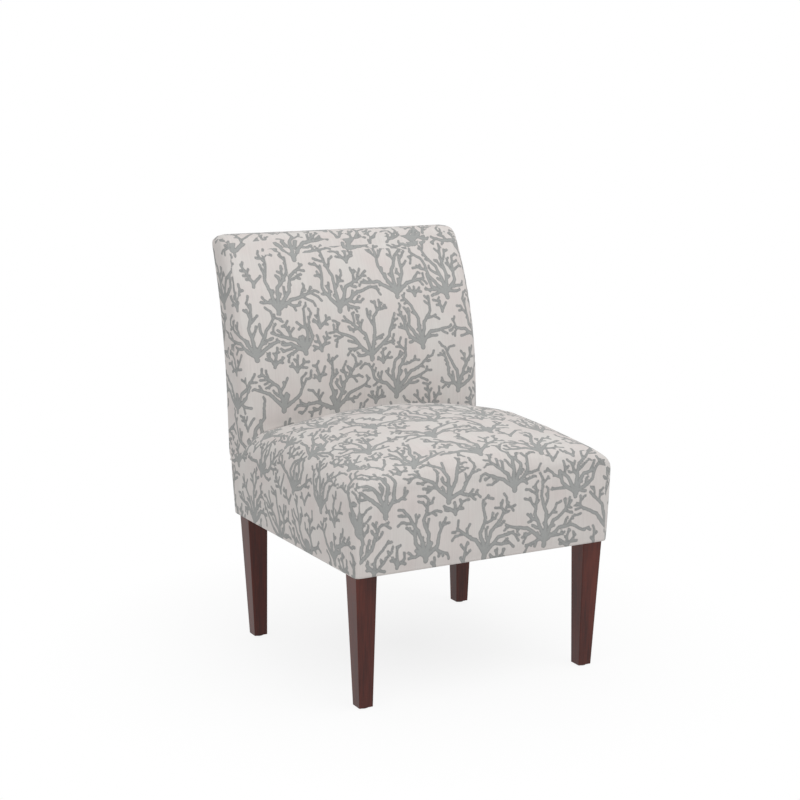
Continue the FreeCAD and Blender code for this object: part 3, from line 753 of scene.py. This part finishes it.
class CHAIR_OT_seat_cloth(bpy.types.Operator):
    """Seat: one printed cloth over the crown, the front and the sides, tacked under the rails"""

    bl_idname = "chair.seat_cloth"
    bl_label = "Seat Cloth"

    def execute(self, context):
        cloth = context.scene.chair_cloth
        low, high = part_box("seat_cover")
        skin = outer_surface("seat_cover", hull=True)
        inset = 0.085
        reach = 0.03
        tuck = 0.005
        hem = 0.012
        under_back = 0.03
        wall_height = 0.28
        bm = grid_box(steps_for(low, high, cloth.pitch))
        tacked = []
        for v in bm.verts:
            share = v.co.copy()
            place = Vector([low[i] + share[i] * (high[i] - low[i]) for i in range(3)])
            centre = Vector([min(max(place[i], low[i] + inset), high[i] - inset) for i in range(3)])
            if share.z < 0.001:
                tacked.append(v)
                if min(share.x, 1 - share.x, share.y, 1 - share.y) > 0.001:
                    v.co = place
                    continue
            centre.z = min(place.z, high.z - inset)
            v.co = onto(skin, place, centre, reach)
        for v in tacked:
            v.co.z = low.z
            v.co.x = min(max(v.co.x, low.x + tuck), high.x - tuck)
        even_out(bm, [v for v in bm.verts if v.co.z > low.z + hem], 6)
        piece = finished("seat_cloth", bm)
        places = positions(piece.data)
        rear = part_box("back_cover")[0].y + under_back
        held = np.flatnonzero((places[:, 2] < low.z + 0.001) | (places[:, 1] > rear))
        fill_with_pressure(piece, held.tolist(), cloth.seat_swell)
        made_finer(piece)
        kept_outside(piece, skin, cloth.clear)
        stood_out(piece, low, high, cloth.seat_belly, low.z + wall_height, front_too=True)
        one_flat_face(piece, low.z)
        self.print_on(piece, cloth, low, high, skin)
        piece.data.materials.append(printed_cloth())
        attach(piece, "root")
        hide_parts("seat_cover", "seat_batting", "seat_foam")
        return {"FINISHED"}

    def print_on(self, piece, cloth, low, high, skin):
        """Lay the print out upright on the front and the sides, and towards the back on the top."""
        front_depth = 0.010
        fold_height = 0.16
        side_start = 0.33
        top_reach = 0.290
        facing_back = 0.7
        facing_side = 0.75
        mesh = piece.data
        places = positions(mesh)
        normals = point_normals(mesh)
        depths = np.linspace(low.y + 0.0005, high.y - 0.0005, 200)
        crest = [skin.ray_cast(Vector((0, d, high.z + 0.1)), Vector((0, 0, -1)))[0].z for d in depths]
        profile = np.interp(places[:, 1], depths, crest)
        x = places[:, 0]
        across = np.abs(x)
        half = (high.x - low.x) / 2
        depth = places[:, 1] - low.y
        height = places[:, 2] - low.z
        front = (depth < front_depth) & (-normals[:, 1] > np.abs(normals[:, 0]))
        rear = normals[:, 1] > facing_back
        wrapped = front & (across > half - cloth.corner_fold) & (height < fold_height)
        drop = np.maximum(profile - places[:, 2], 0)
        top_a = np.where(front, x, np.sign(x) * (across + drop))
        top_b = np.where(front, depth + height, depth + profile - low.z)
        side_a = np.sign(x) * (np.where(front, across - half, depth) + side_start)
        side_b = height + half - across
        places[wrapped, 1] += cloth.fold_step
        set_positions(mesh, places)
        on_top = (np.abs(top_a) < top_reach) & ~wrapped & ~rear
        on_side = (~front | wrapped) & ~rear
        stretches = (
            (SEAT_TOP_PRINT, WIDE_REPEAT, on_top, top_a, top_b),
            (SEAT_LEFT_PRINT, SIDE_REPEAT, on_side & (x < 0), side_a, side_b),
            (SEAT_RIGHT_PRINT, SIDE_REPEAT, on_side & (x >= 0), side_a, side_b),
            (SEAT_REAR_PRINT, WIDE_REPEAT, rear, -x, height),
        )
        fields = []
        for stretch, repeat, chosen, a, b in stretches:
            fields.append(Coral(*stretch).grown(*repeat).distance(np.where(chosen, a, np.nan), b))
        keep_print(mesh, fields)
        faces = values(mesh.polygons, "normal", 3)
        chart = np.where((np.abs(faces[:, 0]) > facing_side) | faces_at(mesh, wrapped), 1, 0)
        chart = np.where(faces[:, 1] > facing_back, 2, chart)
        keep_flat_map(mesh, chart, [(top_a, top_b), (side_a, side_b), (-x, height)])


class CHAIR_OT_back_cloth(bpy.types.Operator):
    """Back: printed cloth over the front, the top and the sides, resting on the seat"""

    bl_idname = "chair.back_cloth"
    bl_label = "Back Cloth"

    def execute(self, context):
        cloth = context.scene.chair_cloth
        low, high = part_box("back_cover")
        skin = outer_surface("back_cover", "outside_back_panel")
        seat = outer_surface("seat_cover", hull=True)
        thick = 0.0930
        inset = 0.030
        reach = 0.02
        over_wood = 0.0025
        frame_top = 0.12
        facing_back = 0.8
        above = 0.05
        rear_line = RearLine(skin, low, high)
        bm = grid_box(steps_for((low.x, 0, low.z), (high.x, thick, high.z), cloth.pitch))
        resting = set()

        def bent(x, share, rise):
            """A place in the box, bent to the back's rear curve and set down on the seat."""
            z = low.z + rise * (high.z - low.z)
            for _ in range(2):
                y = rear_line.depth(z) - thick * (1 - share)
                floor = resting_height(seat, x, y, low.z)
                z = floor + rise * (high.z - floor)
            return Vector((x, y, z))

        for v in bm.verts:
            share = v.co.copy()
            x = low.x + share.x * (high.x - low.x)
            place = bent(x, share.y, share.z)
            if share.z < 0.001:
                resting.add(v.index)
            else:
                inner_x = min(max(x, low.x + inset), high.x - inset)
                inner_share = min(max(share.y, inset / thick), 1 - inset / thick)
                inner_rise = min(share.z, 1 - inset / (high.z - low.z))
                place = onto(skin, place, bent(inner_x, inner_share, inner_rise), reach)
            v.co = place
        even_out(bm, [v for v in bm.verts if v.index not in resting], 5)
        piece = finished("back_cloth", bm)
        rear = np.flatnonzero(point_normals(piece.data)[:, 1] > facing_back)
        fill_with_pressure(piece, sorted(resting | set(rear.tolist())), cloth.back_swell)
        made_finer(piece)
        kept_outside(piece, skin, cloth.clear)
        stood_out(piece, low, high, cloth.back_belly, high.z + above, front_too=False)
        posts = outer_surface("frame_side_left", "frame_side_right", "back_top_rail")
        kept_outside(piece, posts, over_wood, high.z - frame_top)
        self.print_on(piece, low, rear_line, thick)
        piece.data.materials.append(bpy.data.materials["printed_cotton"])
        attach(piece, "root")
        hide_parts("back_cover", "back_batting", "back_foam")
        return {"FINISHED"}

    def print_on(self, piece, low, rear_line, thick):
        """Lay the print out upright on the front, and on over the top and round the sides."""
        facing_up = 0.55
        side_from = 0.2
        side_blend = 0.4
        mesh = piece.data
        places = positions(mesh)
        normals = point_normals(mesh)
        sidelong = np.abs(normals[:, 0])
        x = places[:, 0]
        setback = np.maximum(places[:, 1] - (rear_line.depth(places[:, 2]) - thick), 0)
        over_top = normals[:, 2] > np.maximum(sidelong, facing_up)
        sideways = np.clip((sidelong - side_from) / side_blend, 0, 1)
        a = np.where(over_top, x, x + np.sign(x) * setback * sideways)
        b = places[:, 2] - low.z + np.where(over_top, setback, 0)
        print_whole(mesh, BACK_PRINT, a, b)


def print_whole(mesh, stretch, a, b):
    """Print a piece from one stretch of flat cloth."""
    keep_print(mesh, [Coral(*stretch).grown(*WIDE_REPEAT).distance(a, b)])
    keep_flat_map(mesh, np.zeros(len(mesh.polygons), int), [(a, b)])


class RearLine:
    """Depth of the back's rear face along its height, read from the frame."""

    def __init__(self, skin, low, high):
        margin = 0.02
        self.heights = np.linspace(low.z + margin, high.z - margin, 60)
        self.found = [from_behind(skin, 0, high.y, z).y for z in self.heights]

    def depth(self, height):
        return np.interp(height, self.heights, self.found)


def from_behind(skin, x, rear, z):
    """The first place on the skin that is met from behind the chair."""
    return skin.ray_cast(Vector((x, rear + 0.1, z)), Vector((0, -1, 0)))[0]


def resting_height(seat, x, y, lowest):
    """Height at which the back rests on the seat, or hangs free behind it."""
    gap = 0.0006
    hit = seat.ray_cast(Vector((x, y, 1.0)), Vector((0, 0, -1)))[0]
    return max(hit.z + gap, lowest) if hit else lowest


class CHAIR_OT_outside_back(bpy.types.Operator):
    """Outside back: a printed panel sewn over the rear of the back"""

    bl_idname = "chair.outside_back"
    bl_label = "Outside Back Cloth"

    def execute(self, context):
        cloth = context.scene.chair_cloth
        low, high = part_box("outside_back_panel")
        skin = outer_surface("back_cover", "outside_back_panel")
        rear_line = RearLine(skin, low, high)
        over_back = 0.0006
        edge_curl = 0.004
        width = high.x - low.x
        height = high.z - low.z
        bm = bmesh.new()
        bmesh.ops.create_grid(bm, x_segments=round(width / cloth.pitch),
                              y_segments=round(height / cloth.pitch), size=0.5)
        for v in bm.verts:
            x = low.x + (0.5 - v.co.x) * width
            z = low.z + (v.co.y + 0.5) * height
            edge = min(x - low.x, high.x - x, z - low.z, high.z - z)
            rise = cloth.clear + over_back + cloth.panel_lift * (1 - math.exp(-edge / edge_curl))
            hit = from_behind(skin, x, high.y, z)
            v.co = Vector((x, (hit.y if hit else rear_line.depth(z)) + rise, z))
        bmesh.ops.recalc_face_normals(bm, faces=bm.faces)
        if sum(f.normal.y for f in bm.faces) < 0:
            bmesh.ops.reverse_faces(bm, faces=bm.faces)
        piece = finished("outside_back_cloth", bm)
        made_finer(piece)
        mesh = piece.data
        places = positions(mesh)
        print_whole(mesh, OUTSIDE_BACK_PRINT, -places[:, 0], places[:, 2] - low.z)
        mesh.materials.append(bpy.data.materials["printed_cotton"])
        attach(piece, "root")
        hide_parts("outside_back_panel")
        return {"FINISHED"}


class CHAIR_OT_dust_cloth(bpy.types.Operator):
    """Dust cloth: a thin black sheet stapled under the seat, cut out round the legs"""

    bl_idname = "chair.dust_cloth"
    bl_label = "Dust Cloth"

    def execute(self, context):
        cloth = context.scene.chair_cloth
        low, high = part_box("dust_cover")
        front_low, front_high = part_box("leg_front_right")
        rear_low, rear_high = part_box("leg_rear_right")
        gap = 0.001
        below = 0.0002
        steps = 36
        middle = (low.y + high.y) / 2
        inner = front_low.x - gap
        across = [low.x, *np.linspace(-inner, inner, steps + 1), high.x]
        along = [low.y, *np.linspace(front_high.y + gap, rear_low.y - gap, steps + 1),
                 rear_high.y + gap, high.y]
        bm = bmesh.new()
        bmesh.ops.create_grid(bm, x_segments=len(across) - 1, y_segments=len(along) - 1, size=0.5)
        for v in bm.verts:
            x = across[round((v.co.x + 0.5) * (len(across) - 1))]
            y = along[round((v.co.y + 0.5) * (len(along) - 1))]
            share = (1 - (x / high.x) ** 2) * (1 - ((y - middle) / (high.y - middle)) ** 2)
            v.co = Vector((x, y, low.z - below - cloth.dust_sag * share))
        holes = [f for f in bm.faces if self.over_a_leg(f.calc_center_median(), inner, front_high.y,
                                                        rear_low.y, rear_high.y)]
        bmesh.ops.delete(bm, geom=holes, context="FACES")
        bmesh.ops.reverse_faces(bm, faces=[f for f in bm.faces if f.normal.z > 0])
        piece = finished("dust_cloth", bm)
        piece.data.shade_smooth()
        piece.data.materials.append(plain_cloth("black_dust_cloth", cloth.dust_cloth,
                                                (0.09, 0.09, 0.095), 210.0))
        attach(piece, "root")
        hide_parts("dust_cover")
        return {"FINISHED"}

    def over_a_leg(self, place, inner, front, rear, rear_end):
        beside = abs(place.x) > inner
        return beside and (place.y < front or rear < place.y < rear_end)


class CHAIR_OT_legs(bpy.types.Operator):
    """Legs: stained wood on the four legs and grey discs under them"""

    bl_idname = "chair.legs"
    bl_label = "Legs"

    def execute(self, context):
        wood = stained_wood()
        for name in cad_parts:
            if name.startswith(("leg_front", "leg_rear")):
                dress(name, wood)
        dress("foot_glides", glide_plastic())
        return {"FINISHED"}


def dress(node, material):
    """Give a frame piece its finish."""
    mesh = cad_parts[node].data
    mesh.materials.clear()
    mesh.materials.append(material)


class CHAIR_OT_inner_parts(bpy.types.Operator):
    """Hidden parts: plywood, blocks, webbing, boards and steel inside the covers"""

    bl_idname = "chair.inner_parts"
    bl_label = "Inner Parts"

    def execute(self, context):
        deck = plain_cloth("deck_cotton", (0.87, 0.84, 0.76), (0.78, 0.74, 0.65), 230.0)
        finishes = (
            (plywood(), ("frame_side", "_rail")),
            (block_wood(), ("corner_block",)),
            (webbing(), ("webbing",)),
            (deck, ("deck_cloth",)),
            (pressed_board(), ("board",)),
            (zinc_steel(), ("screws", "bolts", "inserts")),
            (foam(), ("foam",)),
            (wadding(), ("batting",)),
            (bpy.data.materials["black_dust_cloth"], ("dust_cover",)),
            (bpy.data.materials["printed_cotton"], ("back_cover", "seat_cover", "outside_back_panel")),
        )
        for material, words in finishes:
            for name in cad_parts:
                if any(word in name for word in words):
                    dress(name, material)
        return {"FINISHED"}


class CHAIR_OT_stage(bpy.types.Operator):
    """Stage: pale floor, soft studio lamps and the camera"""

    bl_idname = "chair.stage"
    bl_label = "Stage"

    def execute(self, context):
        scene = context.scene
        stage = scene.chair_stage
        scene.view_settings.view_transform = "Standard"
        self.floor(stage)
        self.daylight(scene, stage)
        self.lamp("key_lamp", Vector((0.5, -1.3, 3.2)), 2.4, stage.key_light)
        self.lamp("fill_lamp", Vector((-2.6, -1.2, 1.6)), 2.0, stage.fill_light)
        camera = bpy.data.cameras.new("photo_camera")
        camera.lens = stage.lens
        camera.sensor_width = 36.0
        scene.camera = self.stand("photo_camera", camera, stage.eye, Vector(stage.aim))
        return {"FINISHED"}

    def stand(self, name, data, place, aim):
        """Put up a lamp or the camera, looking along a direction."""
        holder = bpy.data.objects.new(name, data)
        holder.location = place
        holder.rotation_euler = aim.to_track_quat("-Z", "Y").to_euler()
        bpy.context.scene.collection.objects.link(holder)
        return holder

    def floor(self, stage):
        """A wide pale floor that keeps the chair's soft shadow."""
        bm = bmesh.new()
        bmesh.ops.create_grid(bm, x_segments=1, y_segments=1, size=40.0)
        floor = finished("studio_floor", bm)
        finish = Finish("floor_paint", Roughness=0.9, Specular_IOR_Level=0.1)
        patches = finish.noise(finish.place(), 0.8, 1.0)
        finish.feed(Base_Color=finish.mix(patches * 0.05, stage.floor, (0.90, 0.90, 0.90)))
        seen = finish.node("ShaderNodeLightPath", {})
        glossy = Value(finish, seen.outputs["Is Glossy Ray"])
        straight = Value(finish, seen.outputs["Is Camera Ray"])
        white = finish.node("ShaderNodeEmission", {}, Color=(1, 1, 1, 1), Strength=1.0)
        away = finish.number("ShaderNodeVectorMath", {"operation": "LENGTH"}, finish.place(), output=1)
        fading = (0.92 + (away - 0.45) * 0.25).clamped()
        blend = finish.node("ShaderNodeMixShader", {}, (straight + glossy).clamped() * fading,
                            finish.shader.outputs[0], white.outputs[0])
        finish.tree.links.new(blend.outputs[0], finish.output.inputs[0])
        floor.data.materials.append(finish.material)

    def daylight(self, scene, stage):
        """Even light from all round, and a white background for the camera."""
        world = bpy.data.worlds.new("studio")
        world.use_nodes = True
        scene.world = world
        tree = world.node_tree
        tree.nodes.clear()
        path = tree.nodes.new("ShaderNodeLightPath")
        blend = tree.nodes.new("ShaderNodeMixShader")
        out = tree.nodes.new("ShaderNodeOutputWorld")
        tree.links.new(path.outputs["Is Camera Ray"], blend.inputs[0])
        for number, strength in enumerate((stage.daylight, 1.0)):
            light = tree.nodes.new("ShaderNodeBackground")
            light.inputs["Color"].default_value = (1, 1, 1, 1)
            light.inputs["Strength"].default_value = strength
            tree.links.new(light.outputs[0], blend.inputs[number + 1])
        tree.links.new(blend.outputs[0], out.inputs[0])

    def lamp(self, name, place, size, power):
        """A round lamp turned towards the middle of the chair."""
        light = bpy.data.lights.new(name, "AREA")
        light.shape = "DISK"
        light.size = size
        light.energy = power
        self.stand(name, light, place, Vector((0, 0, 0.45)) - place)


class CHAIR_PT_panel(bpy.types.Panel):
    """Sidebar panel of the chair"""

    bl_label = "Slipper Chair"
    bl_space_type = "VIEW_3D"
    bl_region_type = "UI"
    bl_category = "Chair"

    def draw(self, context):
        layout = self.layout
        for settings in (context.scene.chair_cloth, context.scene.chair_wood, context.scene.chair_stage):
            box = layout.box()
            for name in settings.__annotations__:
                box.prop(settings, name)
        for operator in OPERATORS:
            layout.operator(operator.bl_idname)


OPERATORS = (
    CHAIR_OT_seat_cloth,
    CHAIR_OT_back_cloth,
    CHAIR_OT_outside_back,
    CHAIR_OT_dust_cloth,
    CHAIR_OT_legs,
    CHAIR_OT_inner_parts,
    CHAIR_OT_stage,
)
SETTINGS = {"chair_cloth": ClothSettings, "chair_wood": WoodSettings, "chair_stage": StageSettings}


def register():
    for group in SETTINGS.values():
        bpy.utils.register_class(group)
    for name, group in SETTINGS.items():
        setattr(bpy.types.Scene, name, bpy.props.PointerProperty(type=group))
    for operator in OPERATORS:
        bpy.utils.register_class(operator)
    bpy.utils.register_class(CHAIR_PT_panel)


def unregister():
    bpy.utils.unregister_class(CHAIR_PT_panel)
    for operator in reversed(OPERATORS):
        bpy.utils.unregister_class(operator)
    for name, group in SETTINGS.items():
        delattr(bpy.types.Scene, name)
        bpy.utils.unregister_class(group)


def main():
    """Dress the whole chair."""
    register()
    bpy.ops.chair.seat_cloth()
    bpy.ops.chair.back_cloth()
    bpy.ops.chair.outside_back()
    bpy.ops.chair.dust_cloth()
    bpy.ops.chair.legs()
    bpy.ops.chair.inner_parts()
    bpy.ops.chair.stage()
    bpy.context.view_layer.update()


if __name__ == "__main__":
    main()
